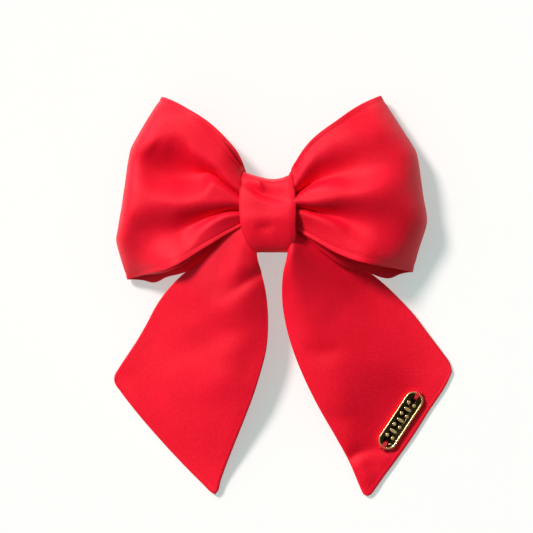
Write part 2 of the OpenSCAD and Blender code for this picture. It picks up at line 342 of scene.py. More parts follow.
def satin_material(name, low, high):
    """Heavy satin: smooth face of fine floats over a twill, with soft slubs."""
    mat, tree, skin = new_material(name)
    link = tree.links.new
    cloth = tree.nodes.new("ShaderNodeAttribute")
    cloth.attribute_name = "cloth"
    tone = node(tree, "ShaderNodeTexNoise", Scale=0.05, Detail=1.0, Roughness=0.4)
    link(cloth.outputs["Vector"], tone.inputs["Vector"])
    stretch = node(tree, "ShaderNodeMapping", Scale=(0.35, 4.2, 1.0))
    link(cloth.outputs["Vector"], stretch.inputs["Vector"])
    slub = node(tree, "ShaderNodeTexNoise", Scale=1.0, Detail=3.0, Roughness=0.6)
    link(stretch.outputs["Vector"], slub.inputs["Vector"])
    fine = node(tree, "ShaderNodeTexNoise", Scale=1.5, Detail=3.0, Roughness=0.8)
    link(cloth.outputs["Vector"], fine.inputs["Vector"])
    both = node(tree, "ShaderNodeMath")
    both.operation = "ADD"
    link(slub.outputs["Fac"], both.inputs[0])
    link(fine.outputs["Fac"], both.inputs[1])
    mixed = node(tree, "ShaderNodeMath")
    mixed.operation = "MULTIPLY_ADD"
    link(both.outputs["Value"], mixed.inputs[0])
    mixed.inputs[1].default_value = 1.8
    link(tone.outputs["Fac"], mixed.inputs[2])
    level = node(tree, "ShaderNodeMapRange")
    level.inputs["From Min"].default_value = 1.85
    level.inputs["From Max"].default_value = 2.75
    link(mixed.outputs["Value"], level.inputs["Value"])
    shade = ramp(tree, [(0.0, low), (1.0, high)])
    link(level.outputs["Result"], shade.inputs["Fac"])
    link(shade.outputs["Color"], skin.inputs["Base Color"])
    wave = node(tree, "ShaderNodeTexWave", Scale=0.9, Distortion=1.2, Detail=2.0)
    wave.inputs["Detail Scale"].default_value = 1.5
    wave.bands_direction = "DIAGONAL"
    link(cloth.outputs["Vector"], wave.inputs["Vector"])
    height = node(tree, "ShaderNodeMath")
    height.operation = "MULTIPLY_ADD"
    link(wave.outputs["Fac"], height.inputs[0])
    height.inputs[1].default_value = 0.25
    link(both.outputs["Value"], height.inputs[2])
    bump = node(tree, "ShaderNodeBump", Strength=0.5, Distance=0.00028)
    link(height.outputs["Value"], bump.inputs["Height"])
    link(bump.outputs["Normal"], skin.inputs["Normal"])
    rough = node(tree, "ShaderNodeMapRange")
    rough.inputs["To Min"].default_value = 0.46
    rough.inputs["To Max"].default_value = 0.58
    link(slub.outputs["Fac"], rough.inputs["Value"])
    link(rough.outputs["Result"], skin.inputs["Roughness"])
    skin.inputs["IOR"].default_value = 1.22
    skin.inputs["Specular IOR Level"].default_value = 1.0
    skin.inputs["Sheen Weight"].default_value = 0.005
    skin.inputs["Sheen Roughness"].default_value = 0.4
    skin.inputs["Sheen Tint"].default_value = (1.0, 0.35, 0.35, 1)
    return mat


def thread_material():
    """Polyester sewing thread, darker along the grooves of its twist: painted shade."""
    mat, tree, skin = new_material("thread")
    link = tree.links.new
    cloth = tree.nodes.new("ShaderNodeAttribute")
    cloth.attribute_name = "cloth"
    wave = node(tree, "ShaderNodeTexWave", Scale=2.5, Distortion=0.6, Detail=2.0)
    wave.bands_direction = "DIAGONAL"
    link(cloth.outputs["Vector"], wave.inputs["Vector"])
    # painted shade: the colour runs from dark in the twist's grooves, where the bump is low, to light on
    # its crests
    shade = ramp(tree, [(0.1, (0.55, 0.004, 0.012, 1)), (0.9, (0.86, 0.012, 0.03, 1))])
    link(wave.outputs["Fac"], shade.inputs["Fac"])
    link(shade.outputs["Color"], skin.inputs["Base Color"])
    bump = node(tree, "ShaderNodeBump", Strength=0.5, Distance=0.00005)
    link(wave.outputs["Fac"], bump.inputs["Height"])
    link(bump.outputs["Normal"], skin.inputs["Normal"])
    skin.inputs["Roughness"].default_value = 0.5
    skin.inputs["Specular IOR Level"].default_value = 0.3
    skin.inputs["Sheen Weight"].default_value = 0.15
    return mat


def metal_material(name, dark, light, rough, stretch, bump_strength=0.12):
    """Metal with fine marks stretched along one direction, and tone that drifts a little."""
    mat, tree, skin = new_material(name)
    link = tree.links.new
    coord = tree.nodes.new("ShaderNodeTexCoord")
    spread = node(tree, "ShaderNodeMapping", Scale=stretch)
    link(coord.outputs["Object"], spread.inputs["Vector"])
    marks = node(tree, "ShaderNodeTexNoise", Scale=900.0, Detail=4.0, Roughness=0.6)
    link(spread.outputs["Vector"], marks.inputs["Vector"])
    drift = node(tree, "ShaderNodeTexNoise", Scale=120.0, Detail=2.0)
    link(coord.outputs["Object"], drift.inputs["Vector"])
    shade = ramp(tree, [(0.35, dark), (0.7, light)])
    link(drift.outputs["Fac"], shade.inputs["Fac"])
    link(shade.outputs["Color"], skin.inputs["Base Color"])
    skin.inputs["Metallic"].default_value = 1.0
    level = node(tree, "ShaderNodeMapRange")
    level.inputs["To Min"].default_value = rough[0]
    level.inputs["To Max"].default_value = rough[1]
    link(marks.outputs["Fac"], level.inputs["Value"])
    link(level.outputs["Result"], skin.inputs["Roughness"])
    bump = node(tree, "ShaderNodeBump", Strength=bump_strength, Distance=0.00003)
    link(marks.outputs["Fac"], bump.inputs["Height"])
    link(bump.outputs["Normal"], skin.inputs["Normal"])
    return mat


SATIN = satin_material("satin", (0.80, 0.0004, 0.015, 1), (0.96, 0.0028, 0.029, 1))
THREAD = thread_material()
GILT = metal_material(
    "gilt", (0.83, 0.57, 0.22, 1), (0.95, 0.72, 0.36, 1), (0.14, 0.26), (1, 1, 1), 0.08
)
GILT_DARK = metal_material(
    "gilt_dark", (0.035, 0.026, 0.011, 1), (0.075, 0.056, 0.024, 1), (0.12, 0.22), (1, 1, 1), 0.05
)
NICKEL = metal_material(
    "nickel", (0.52, 0.50, 0.47, 1), (0.66, 0.64, 0.61, 1), (0.16, 0.3), (1, 1, 1)
)
SPRING_STEEL = metal_material(
    "spring_steel", (0.30, 0.31, 0.33, 1), (0.42, 0.43, 0.46, 1), (0.28, 0.46), (0.08, 1, 1)
)

# ---------------------------------------------------------------- loops
# Outlines are in millimetres from the origin under the knot. The fold is shared by the
# front and the back layer. A relief line runs towards +X, so its first reach is above it.
FOLD_Z = 6.6
BACK_REST_Z = 0.8
LOOP_T, TAIL_T, BAND_T = 1.15, 1.5, 1.1
TAIL_REST_Z = 0.95

LEFT_LOOP = dict(
    front_z=[(0, 24.4), (0.2, 25.4), (0.45, 25.8), (0.7, 25.6), (0.85, 25.2), (1, 24.4)],
    back_z=[(0, 14.6), (0.3, 13.4), (0.5, 10.3), (0.7, 6.0), (0.85, 2.4), (1, 0.8)],
    mouth_drop=3.2,
    lift=2.2,
    corner=0.5,
    brow_drop=1.0,
    fullness=34,
    fold=[(-54.9, -25.4), (-57.0, -18), (-58.7, -11.9), (-59.0, -10.3), (-58.6, -8.2), (-57.3, 0),
          (-55.7, 10), (-53.9, 22.5), (-53.3, 25.1), (-52.3, 27.0), (-47.3, 35.7), (-41.4, 44.9)],
    front_low=[(-8.5, -3.8), (-15.5, -7.5), (-26.5, -14.3), (-34.3, -19.2), (-40.2, -21.8),
               (-46.1, -23.1), (-54.9, -25.4)],
    front_high=[(-8.5, 14.2), (-13.1, 20.8), (-18.6, 28.6), (-26.5, 36.5), (-34, 41.4), (-41.4, 44.9)],
    back_low=[(-8.5, -5), (-14, -9.5), (-20, -14.5), (-27, -19.5), (-32.7, -22.7), (-40.2, -24.7),
              (-44.5, -26.7), (-49, -25.8), (-54.9, -25.4)],
    back_high=[(-8.5, 15.4), (-11.6, 22.7), (-16.7, 29), (-24.5, 36.1), (-33, 41.3), (-41.4, 44.9)],
    front_lines=[
        # deep crease between the upper and the middle roll
        [(-53.4, 24.6, 0.0, 6, 6), (-49.3, 20.2, -2.4, 11, 9), (-42.7, 17.3, -5.2, 14, 12),
         (-36, 16.0, -7.2, 15, 12), (-29.8, 15.4, -8.2, 11, 11), (-24, 15.9, -7.8, 5, 9),
         (-20.6, 15.2, -6.6, 2.4, 5.5), (-17.6, 12.6, -5.8, 1.6, 3.2), (-14.4, 9.8, -5.2, 1.3, 2.0),
         (-7, 4.4, -5.0, 1.2, 1.5)],
        # crease between the middle and the lower roll
        [(-58.5, -10.0, 0.0, 10, 10), (-50, -9.0, -2.2, 13, 12), (-42, -7.8, -4.0, 13, 13),
         (-33.8, -6.7, -5.2, 11, 9), (-28.8, -4.7, -5.2, 9, 5), (-22.7, -1.8, -5.2, 6.5, 2.6),
         (-16.7, 0.4, -5.2, 4.4, 1.7), (-7, 1.0, -4.8, 2.0, 1.3)],
    ],
)
RIGHT_LOOP = dict(
    front_z=[(0, 24.4), (0.2, 25.6), (0.45, 26.0), (0.7, 24.9), (0.85, 21.6), (1, 16.0)],
    back_z=[(0, 18.8), (0.2, 18.2), (0.35, 16.4), (0.5, 13.4), (0.7, 8.2), (0.85, 3.4), (1, 0.8)],
    mouth_drop=3.4,
    lift=2.0,
    corner=0.2,
    brow_drop=2.6,
    fullness=17,
    fold=[(56.9, -22.5), (59.2, -13.8), (61.6, -6.2), (62.2, -3.6), (62.0, -0.8), (60.8, 6), (59.7, 14),
          (58.4, 22.3), (57.9, 24.2), (56.8, 26), (51.6, 34.2), (44.4, 45.4)],
    front_low=[(8.5, -4), (13.1, -7.1), (19, -10.6), (26.5, -14.9), (34.3, -18), (42, -19.8),
               (50, -20.9), (56.9, -22.5)],
    front_high=[(8.5, 13.9), (10, 16.9), (15.9, 26.3), (27.6, 35.7), (36, 41.4), (44.4, 45.4)],
    back_low=[(8.5, -5), (13, -7.5), (21, -14.1), (29.6, -20), (39.8, -22.8), (48.2, -25),
              (52.5, -23.3), (56.9, -22.5)],
    back_high=[(8.5, 13), (11, 17), (17, 25), (28.5, 34.5), (37, 40.8), (44.4, 45.4)],
    front_lines=[
        # deep crease below the upper roll
        [(7, 5.0, -5.0, 1.7, 1.5), (10.9, 7.0, -5.8, 3.6, 1.5), (16.9, 10.8, -6.6, 7.5, 1.9),
         (22, 12.6, -6.4, 11, 3.0),
         (30.4, 15.6, -5.2, 14, 8), (40, 19.0, -3.0, 14, 10), (56.5, 24.4, 0.0, 9, 8)],
        # crest of the middle roll
        [(7, 3.6, 0.6, 2, 2), (12, 3.3, 0.9, 4, 2.5), (22.4, 4.8, 1.4, 7, 4), (34.9, 6.8, 1.6, 9, 6),
         (44.9, 8.6, 1.3, 10, 8), (56, 8.7, 0.0, 8, 7)],
        # crease where the lower roll laps over the middle one
        [(7, 1.8, -4.8, 1.5, 1.3), (12, 1.9, -5.2, 2.6, 1.4), (17.4, 0.6, -5.4, 4.5, 1.8),
         (26.9, -1.9, -5.2, 8, 4),
         (34, -3.9, -4.8, 10, 9), (44, -5.0, -3.6, 11, 14), (54, -4.4, -1.4, 9, 12),
         (61, -3.4, 0.0, 8, 10)],
    ],
)

BAND_ROUND_Y, BAND_ROUND_Z, BAND_MID_Y = 0.72, 0.76, -0.5
BAND_LOW, BAND_HIGH = (np.array(c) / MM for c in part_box("knot_band"))
BAND_HALF_Y = (BAND_HIGH[1] - BAND_LOW[1]) / 2


def band_inner_z(y):
    """Height of the inside of the band's front at y."""
    c = np.clip(abs(y - BAND_MID_Y) / (BAND_HALF_Y - 0.6), 0, 1) ** (1 / BAND_ROUND_Y)
    h = np.clip(1 - c**2, 0, 1) ** (BAND_ROUND_Z / 2)
    mid, half = (BAND_HIGH[2] + BAND_LOW[2]) / 2, (BAND_HIGH[2] - BAND_LOW[2]) / 2 - 1.1
    return mid + half * h


def loop_points(shape, rows, seed):
    """Grid of the loop's cloth: out along the back layer, round the fold, in along the front."""
    s = np.linspace(0, 1, rows)
    e = np.linspace(-1, 1, 61)
    v = (np.sign(e) * (1 - (1 - abs(e)) ** 1.25) + 1) / 2
    s, v = np.meshgrid(s, v, indexing="ij")
    u = np.sin(np.pi * s)
    front = s > 0.5
    fold = curve(shape["fold"])
    plans = []
    for layer in ("back", "front"):
        low, high = curve(shape[layer + "_low"]), curve(shape[layer + "_high"])
        ends = np.array([shape[layer + "_low"][0], shape[layer + "_high"][0]], float)
        near = lambda w, ends=ends: ends[0] + (ends[1] - ends[0]) * w[..., None]
        plans.append(patch(low, high, near, fold, u, v))
    xy = np.where(front[..., None], plans[1], plans[0])
    round_ = 1 - np.sqrt(np.clip(1 - u ** shape["fullness"], 0, 1))
    pinch = 1 - 0.25 * abs(2 * v - 1) ** 8 * smooth(0.6, 1, u)
    pinch = pinch - shape["corner"] * (1 - smooth(0, 0.36, v)) * smooth(0.55, 1, u)
    fold_z = FOLD_Z - 3.6 * (1 - smooth(0, 0.32, v))
    back = graph(shape["back_z"])(u) + (fold_z - BACK_REST_Z) * round_
    top = graph(shape["front_z"])(u) + (fold_z - shape["front_z"][-1][1]) * round_
    z_front = back + (top - back) * pinch
    drop = shape["mouth_drop"] + 1.2 * (1 - smooth(0.05, 0.45, u))
    drop = drop - shape["lift"] * smooth(0.35, 0.7, u)
    z_front = z_front - drop * (1 - smooth(0.0, 0.42, v)) * (1 - round_)
    z_front = z_front - shape["brow_drop"] * smooth(0.76, 1.0, v) * smooth(0.1, 0.4, u) * (1 - round_)
    z_front = z_front - 4.5 * smooth(0.70, 1.0, v) * (1 - smooth(0.0, 0.34, u))
    h = np.zeros_like(z_front)
    for line in shape["front_lines"]:
        h = h + relief(xy[..., 0], xy[..., 1], line)
    z_front = z_front + h * smooth(0.5, 0.60, s)
    waves = np.sin(2 * np.pi * (3.2 * v + 0.15)) * 1.3 * (1 - smooth(0.15, 0.75, u)) * smooth(0, 0.12, u)
    z_back = back + waves * 0.8 * (s < 0.5)
    z = np.where(front, z_front, z_back)
    room = band_inner_z(xy[..., 1]) - 1.1 + 14 * smooth(9.8, 12.6, abs(xy[..., 0]))
    z = np.where(front, np.minimum(z, room), z)
    m = np.concatenate([xy, z[..., None]], 2)
    bend = noise_field(m, 17.0, seed) * 0.45 + noise_field(m, 7.0, seed + 3) * 0.14
    m = m + normals_of(m) * (bend * smooth(0, 0.2, u) * (1 - 0.6 * round_))[..., None]
    return blur(m, 1)


def turned_edges(m, inset, depth):
    """Presses a line into the cloth where a turned edge ends, inset from both of its sides."""
    n = normals_of(m)
    place = grid_length(m)[..., 1]
    d = np.minimum(place, place[:, -1:] - place)
    step = -depth * smooth(inset - 0.25, inset + 0.25, d) * (1 - smooth(inset, inset + 2.5, d))
    return m + n * step[..., None]


def make_loop(name, shape, side, seed, lip):
    m = loop_points(shape, 151, seed)
    if side > 0:
        m = m[:, ::-1]
    s = np.linspace(0, 1, len(m))
    m[..., 2] = np.maximum(m[..., 2], BACK_REST_Z)
    m = turned_edges(m, 1.3, 0.22)
    return strip(name, m, LOOP_T, SATIN, lip(s) if lip else None)


left_loop = make_loop(
    "left_loop_cloth", LEFT_LOOP, -1, 1,
    lambda s: 0.9 * smooth(0.62, 0.7, s) * (1 - smooth(0.85, 0.95, s)),
)
right_loop = make_loop("right_loop_cloth", RIGHT_LOOP, 1, 2, None)
for piece, cad in ((left_loop, "left_loop"), (right_loop, "right_loop")):
    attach(piece, "bow")
    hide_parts(cad)

# ---------------------------------------------------------------- tails
LEFT_TAIL = dict(
    inner=[(-3.6, -9.0, 20.0), (-4.2, -13.0, 19.8), (-4.1, -16.5, 18.8), (-2.2, -24.3, 15.6),
           (-0.6, -32.2, 13.6), (0.2, -42, 12.8), (-0.2, -51.8, 12.2), (-3.3, -64.7, 11.2),
           (-6.1, -73.3, 10.0),
           (-9.6, -82.4, 8.0), (-13.5, -92.2, 5.8), (-17.1, -101.6, 3.6), (-18.6, -106, 2.8),
           (-19.3, -109.1, 2.3), (-20.6, -110.8, 2.0)],
    outer=[(-5.6, -3.0, 19.4), (-11, -5.0, 19.5), (-17.1, -9.6, 19.3), (-20.6, -13.6, 18.8),
           (-25, -18.4, 18.0),
           (-32.4, -23.4, 16.2), (-38.2, -29, 12.8), (-43.3, -35.7, 9.8), (-47.3, -43.1, 7.3),
           (-51.2, -49.8, 5.3), (-55.9, -56.9, 3.2), (-59.0, -61.6, 1.7), (-60.3, -63.9, 1.4),
           (-60.5, -65.8, 1.2)],
    hem=[(-20.6, -110.8, 2.0), (-22.4, -109.9, 1.9), (-24.5, -107.8, 1.7), (-33.1, -99.2, 1.2),
         (-42.2, -89.4, 1.0), (-52, -78, 1.0), (-58.4, -69.7, 1.0), (-60.0, -67.4, 1.1),
         (-60.5, -65.8, 1.2)],
    arch=([(0, 0), (0.12, 1.4), (0.3, 2.9), (0.5, 2.9), (0.75, 1.5), (0.9, 0.5), (1, 0)],
          [(0, 0), (0.15, 0.6), (0.5, 1.0), (0.8, 0.7), (1, 0)]),
    lines=[
        [(-8, -9, 0.4, 3, 3), (-10.5, -16, 1.0, 7, 6), (-12, -25, 1.4, 10, 7), (-14, -36, 0.8, 12, 9),
         (-16, -46, 0.0, 12, 9)],
        [(-1.5, -22.6, -1.4, 3.0, 4), (-8, -26.6, -1.9, 4.0, 6), (-14, -30.6, -1.2, 5, 7),
         (-21, -36, 0.0, 7, 8)],
        [(-4, -40, 0.0, 7, 8), (-16, -47, -1.0, 8, 10), (-30, -54, -0.6, 8, 9), (-44, -58, 0.0, 8, 9)],
        [(-8, -62, 0.0, 9, 9), (-18, -66, 0.7, 9, 9), (-30, -68, 0.0, 9, 9)],
    ],
)
RIGHT_TAIL = dict(
    inner=[(7.0, -9.0, 20.6), (8.6, -12.4, 21.0), (8, -17.6, 21.2), (6.5, -23.1, 19.4),
           (5.9, -34.1, 15.0),
           (7.3, -43.9, 12.4), (10, -53.7, 10.8), (14.7, -65.5, 9.2), (20.6, -77.3, 7.4),
           (26.5, -87.5, 5.4),
           (32.4, -98.4, 3.2), (35.6, -105.9, 1.9), (36.9, -109.0, 1.6), (38.0, -110.9, 1.4),
           (39.3, -111.5, 1.3)],
    outer=[(8.0, -4.4, 18.2), (14, -8, 17.6), (24, -13.8, 15.0), (33, -19, 10.4), (41.7, -24.4, 5.8),
           (46.3, -28.2, 4.4), (52, -33.7, 3.2), (57.8, -40, 2.3), (63.7, -47.8, 1.6),
           (68.8, -54.5, 1.2),
           (72.0, -59.2, 1.0), (72.8, -62.4, 1.0)],
    hem=[(39.3, -111.5, 1.3), (40.8, -110.9, 1.3), (42.2, -109.1, 1.2), (45.2, -104.9, 1.1),
           (50, -98.4, 1.0), (56.7, -89, 1.0),
         (63.7, -78, 1.0), (71.5, -65.6, 1.0), (72.8, -62.4, 1.0)],
    arch=([(0, 0), (0.1, 2.3), (0.22, 4.2), (0.4, 4.6), (0.6, 3.2), (0.8, 0.9), (0.9, 0.1), (1, 0)],
          [(0, 0.4), (0.15, 0.8), (0.5, 1.1), (0.75, 0.9), (1, 0)]),
    lines=[
        [(31.6, -97.4, -0.8, 3, 2), (35, -95, -1.6, 6, 2.6), (43.3, -93, -1.5, 7, 3),
         (48, -93, -0.9, 5, 3),
         (53, -93.4, 0.0, 3, 3)],
        [(13, -52, 0.0, 5, 6), (22, -54.4, -0.9, 6, 7), (31, -53, 0.0, 6, 6)],
        [(22, -77, 0.0, 5, 6), (31, -80.6, -0.9, 6, 6), (41, -79, 0.0, 6, 6)],
        [(36, -100, 0.7, 4, 4), (39, -104, 1.1, 4, 4), (41, -107, 0.4, 3, 3)],
    ],
)


TAG_AT, TAG_TURN, TAG_Z = (52.5, -81.6), math.radians(56.5), 2.6
TAG_L, TAG_W, TAG_T = 26.0, 7.3, 1.0


def tag_distance(m):
    """Distance in plan from the tag's middle line, where it presses the cloth down."""
    x, y = m[..., 0] - TAG_AT[0], m[..., 1] - TAG_AT[1]
    c, sn = math.cos(TAG_TURN), math.sin(TAG_TURN)
    along, across = x * c + y * sn, y * c - x * sn
    return np.hypot(np.maximum(0, abs(along) - (TAG_L - TAG_W) / 2), across)


def tail_points(shape, side, seed):
    e = np.linspace(0, 1, 111)
    s = e - 0.22 * np.sin(4 * np.pi * e) / (4 * np.pi)
    s = 1 - (1 - s) ** 1.18
    w = np.linspace(-1, 1, 57)
    v = (np.sign(w) * (1 - (1 - abs(w)) ** 1.45) + 1) / 2
    s, v = np.meshgrid(s, v, indexing="ij")
    inner, outer = curve(shape["inner"]), curve(shape["outer"])
    hem = curve(shape["hem"])
    ends = np.array([shape["inner"][0], shape["outer"][0]], float)
    near = lambda q: ends[0] + (ends[1] - ends[0]) * q[..., None]
    m = patch(inner, outer, near, hem, s, v)
    across, along = shape["arch"]
    m[..., 2] += graph(across)(v) * graph(along)(s)
    for line in shape["lines"]:
        m[..., 2] += relief(m[..., 0], m[..., 1], line, soft=0.9)
    bend = noise_field(m, 19.0, seed) * 0.38 + noise_field(m, 8.0, seed + 3) * 0.10
    edge = np.minimum(np.minimum(v, 1 - v) * 8, (1 - s) * 12)
    m[..., 2] += bend * smooth(0, 1, edge) * smooth(0.02, 0.2, s)
    if side > 0:
        pressed = 2.0 + 0.22 * np.maximum(0, tag_distance(m) - 3.5) ** 1.2
        m[..., 2] = -0.9 * np.log(np.exp(-m[..., 2] / 0.9) + np.exp(-pressed / 0.9))
    m[..., 2] = np.maximum(m[..., 2], TAIL_REST_Z)
    return blur(m, 1)


def make_tail(name, shape, side, seed):
    m = tail_points(shape, side, seed)
    if side > 0:
        m = m[:, ::-1]
    return pillow(name, m, TAIL_T, 0.9, SATIN)


left_tail = make_tail("left_tail_cloth", LEFT_TAIL, -1, 5)
right_tail = make_tail("right_tail_cloth", RIGHT_TAIL, 1, 6)
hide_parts("left_tail_upper", "left_tail_lower")
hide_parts("right_tail_upper", "right_tail_lower")
for piece, body in ((left_tail, "left_tail"), (right_tail, "right_tail")):
    low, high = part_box(body + "_lower")
    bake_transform(piece)

# ---------------------------------------------------------------- knot
BAND_LEFT = graph([
    (-1, 4.3), (-0.95, 5.1), (-0.8, 7.0), (-0.6, 8.4), (-0.43, 9.4), (-0.1, 10.1), (0.6, 10.1), (1, 9.0),
])
BAND_RIGHT = graph([(-1, 8.2), (-0.7, 10.2), (-0.3, 10.2), (0.5, 10.1), (1, 8.8)])
BAND_TOP = graph([(-1, 15.9), (-0.7, 15.0), (-0.4, 14.2), (0.2, 12.9), (0.6, 13.4), (1, 14.9)])


def band_points():
    a = np.radians(np.linspace(-88.8, 268.8, 181))
    w = np.linspace(-1, 1, 45)
    a, w = np.meshgrid(a, w, indexing="ij")
    c = np.sign(np.cos(a)) * abs(np.cos(a)) ** BAND_ROUND_Y
    h = np.sign(np.sin(a)) * abs(np.sin(a)) ** BAND_ROUND_Z
    half = np.where(w < 0, BAND_LEFT(c), BAND_RIGHT(c))
    under = smooth(-0.2, 0.9, -h)
    half = half * (1 - under) + 7.5 * under
    y = BAND_MID_Y + np.where(c > 0, (BAND_TOP(w) - 0.05) * (1 - under) + 14.2 * under, 14.45) * c
    back_z, front_z = BAND_LOW[2] + 0.55, BAND_HIGH[2] - 0.55
    m = np.stack([w * half, y, (front_z + back_z) / 2 + (front_z - back_z) / 2 * h], 2)
    x, y = m[..., 0], m[..., 1]
    lines = [
        [(-9.4, 11.4, -0.6, 3.5, 1.8), (-7.3, 10.3, -1.4, 4.2, 2.0), (-4.9, 8.6, -2.2, 5.5, 2.2),
         (-2.0, 7.0, -2.2, 7, 2.6), (2.6, 5.9, -2.0, 8, 3.4), (6.6, 5.2, -1.4, 8, 3.4),
         (9.8, 5.0, -0.4, 6, 3)],
        [(-9.4, 14.0, 0.2, 2, 2), (-4, 13.0, 0.8, 2, 4.5), (3, 11.8, 1.2, 2, 5),
         (9.2, 12.6, 0.6, 2, 4.5)],
        [(-4.4, 13.8, 0.3, 1.6, 2.2), (-3.4, 11.6, 0.9, 1.4, 2.4), (-2.2, 9.4, 0.5, 1.4, 2.4),
         (-1.4, 8, 0, 1.4, 2)],
        [(-10, -2.4, 0.3, 5, 5), (-4, -2.0, 0.5, 5, 5), (3, -1.6, 0.5, 5, 5), (10, -1.4, 0.3, 5, 5)],
        [(-5, -5.4, 0, 3, 4), (-3.0, -5.6, -0.5, 3, 5), (-0.6, -5.6, -0.6, 3, 5), (3, -6.2, 0, 3, 4)],
    ]
    on_front = smooth(0.2, 0.6, h)
    m[..., 2] -= (0.9 * abs(w) ** 5 + 1.0 * smooth(-1.5, -13.0, y)) * on_front
    for line in lines:
        m[..., 2] += relief(x, y, line, soft=0.5) * on_front
    bend = noise_field(m, 9.0, 11) * 0.22
    m += normals_of(m) * (bend * (0.3 + 0.7 * on_front))[..., None]
    return blur(m, 1)


band = strip("knot_band_cloth", turned_edges(band_points()[:, ::-1], 0.9, 0.05), BAND_T, SATIN)
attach(band, "bow")
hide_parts("knot_band")


def bundle(name, node_name, pleats, seed, reach=1.0):
    """Gathered cloth inside the knot: deep pleats that narrow to the thread round its waist."""
    low, high = (np.array(c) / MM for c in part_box(node_name))
    centre, size = (low + high) / 2, (high - low) / 2 * [reach, 1, 1]
    x = np.linspace(-1, 1, 61)
    a = np.linspace(0, 2 * np.pi, 181)[:-1]
    x, a = np.meshgrid(x, a, indexing="ij")
    k = abs(x) ** 1.6
    waist = 0.68 + 0.32 * k
    fold = np.abs(np.sin(a * pleats / 2 + 0.4 * np.sin(2 * a + seed))) ** 0.7
    r = waist * (0.80 + 0.18 * fold * (0.4 + 0.6 * k))
    points = np.stack(
        [
            centre[0] + x * size[0],
            centre[1] + size[1] * r * np.cos(a),
            centre[2] + size[2] * r * np.sin(a),
        ],
        2,
    )
    place = np.stack([x * size[0], a * size[1], 0 * a], 2)
    rows, count = points.shape[:2]
    faces = [f[::-1] for f in grid_faces(rows, count)]
    faces += [tuple(range(count)), tuple((rows - 1) * count + j for j in range(count))[::-1]]
    piece = make_mesh(name, points.reshape(-1, 3), faces, SATIN, place.reshape(-1, 3))
    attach(piece, "bow")
    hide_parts(node_name)
    return piece


bundle("loop_centre_cloth", "loop_centre", 14, 1)
bundle("tail_centre_cloth", "tail_centre", 10, 2, reach=0.7)


def circle_path(centre, radius, count, tilt):
    x, y, z = centre
    return [
        (x + tilt * math.sin(t), y + radius * math.cos(t), z + radius * math.sin(t))
        for t in np.linspace(0, 2 * np.pi, count, endpoint=False)
    ]


# ---------------------------------------------------------------- threads
def thread_piece(name, node_name, paths, r, body="bow"):
    piece = threads(name, paths, r, THREAD)
    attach(piece, body)
    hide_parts(node_name)
    return piece


def winding_paths():
    paths = []
    for name in ("loop_centre", "tail_centre"):
        low, high = (np.array(c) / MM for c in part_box(name))
        centre, size = (low + high) / 2, (high - low) / 2
        for x in (-1.05, -0.45, 0.15, 0.75, 1.2):
            a = np.linspace(0, 2 * np.pi, 96, endpoint=False)
            r = 0.68 * 0.98
            paths.append(np.stack([
                centre[0] + x + 0.12 * np.sin(a),
                centre[1] + (size[1] * r + 0.2) * np.cos(a),
                centre[2] + (size[2] * r + 0.2) * np.sin(a),
            ], 1))
    return paths


thread_piece("gathering_thread_winding", "gathering_thread", winding_paths(), 0.25)
low, high = (np.array(c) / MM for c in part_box("knot_band_stitches"))
stitch_mid = (low + high) / 2
thread_piece(
    "knot_band_whip_stitches",
    "knot_band_stitches",
    [
        circle_path((x, stitch_mid[1], stitch_mid[2]), 0.72, 40, 0.35)
        for x in np.linspace(low[0] + 0.2, high[0] - 0.2, 5)
    ],
    0.13,
)

# ---------------------------------------------------------------- tag
def tag_place(p):
    """From the tag's own frame, X along it, to the row frame."""
    p = np.asarray(p, float)
    c, s = math.cos(TAG_TURN), math.sin(TAG_TURN)
    return np.stack([
        TAG_AT[0] + c * p[..., 0] - s * p[..., 1],
        TAG_AT[1] + s * p[..., 0] + c * p[..., 1],
        TAG_Z + p[..., 2],
    ], -1)


def stadium(inset, count=40):
    """Round-ended outline, inset from the tag's."""
    r = TAG_W / 2 - inset
    k = TAG_L / 2 - TAG_W / 2
    a = np.linspace(-np.pi / 2, np.pi / 2, count)
    right = np.stack([k + r * np.cos(a), r * np.sin(a)], 1)
    return np.concatenate([right, -right])


def make_tag():
    profile = [
        (0.45, 0.0), (0.12, 0.04), (0.0, 0.16), (0.0, 1.12), (0.05, 1.26), (0.16, 1.35),
        (0.42, 1.37), (0.60, 1.33), (0.72, 1.22), (0.80, 1.06), (0.92, 1.0), (1.3, 0.98),
    ]
    rings = [np.concatenate([stadium(i), np.full((80, 1), z)], 1) for i, z in profile]
    count = 80
    points = np.concatenate(rings)
    faces = grid_faces(len(rings), count)
    faces.append(tuple(range(count))[::-1])
    faces.append(tuple((len(rings) - 1) * count + j for j in range(count)))
    plate = make_mesh("name_tag_plate", tag_place(points), faces, GILT)
    plate.data.materials.append(GILT_DARK)
    for i, poly in enumerate(plate.data.polygons):
        if i >= 9 * count and i != len(faces) - 2:
            poly.material_index = 1
    cutters = []
    for side in (-1, 1):
        a = np.linspace(0, 2 * np.pi, 32, endpoint=False)
        ring = np.stack([side * 10.5 + 0.8 * np.cos(a), 0.8 * np.sin(a)], 1)
        pts = np.concatenate([np.concatenate([ring, np.full((32, 1), z)], 1) for z in (-1.0, 3.0)])
        f = [(j, (j + 1) % 32, 32 + (j + 1) % 32, 32 + j) for j in range(32)]
        f += [tuple(range(32))[::-1], tuple(range(32, 64))]
        cutter = make_mesh("hole", tag_place(pts), f, GILT)
        mod = plate.modifiers.new("hole", "BOOLEAN")
        mod.operation, mod.solver, mod.object = "DIFFERENCE", "EXACT", cutter
        cutters.append(cutter)
    evaluated = plate.evaluated_get(bpy.context.evaluated_depsgraph_get())
    mesh = bpy.data.meshes.new_from_object(evaluated)
    plate.modifiers.clear()
    plate.data = mesh
    for cutter in cutters:
        bpy.data.objects.remove(cutter)
    return plate


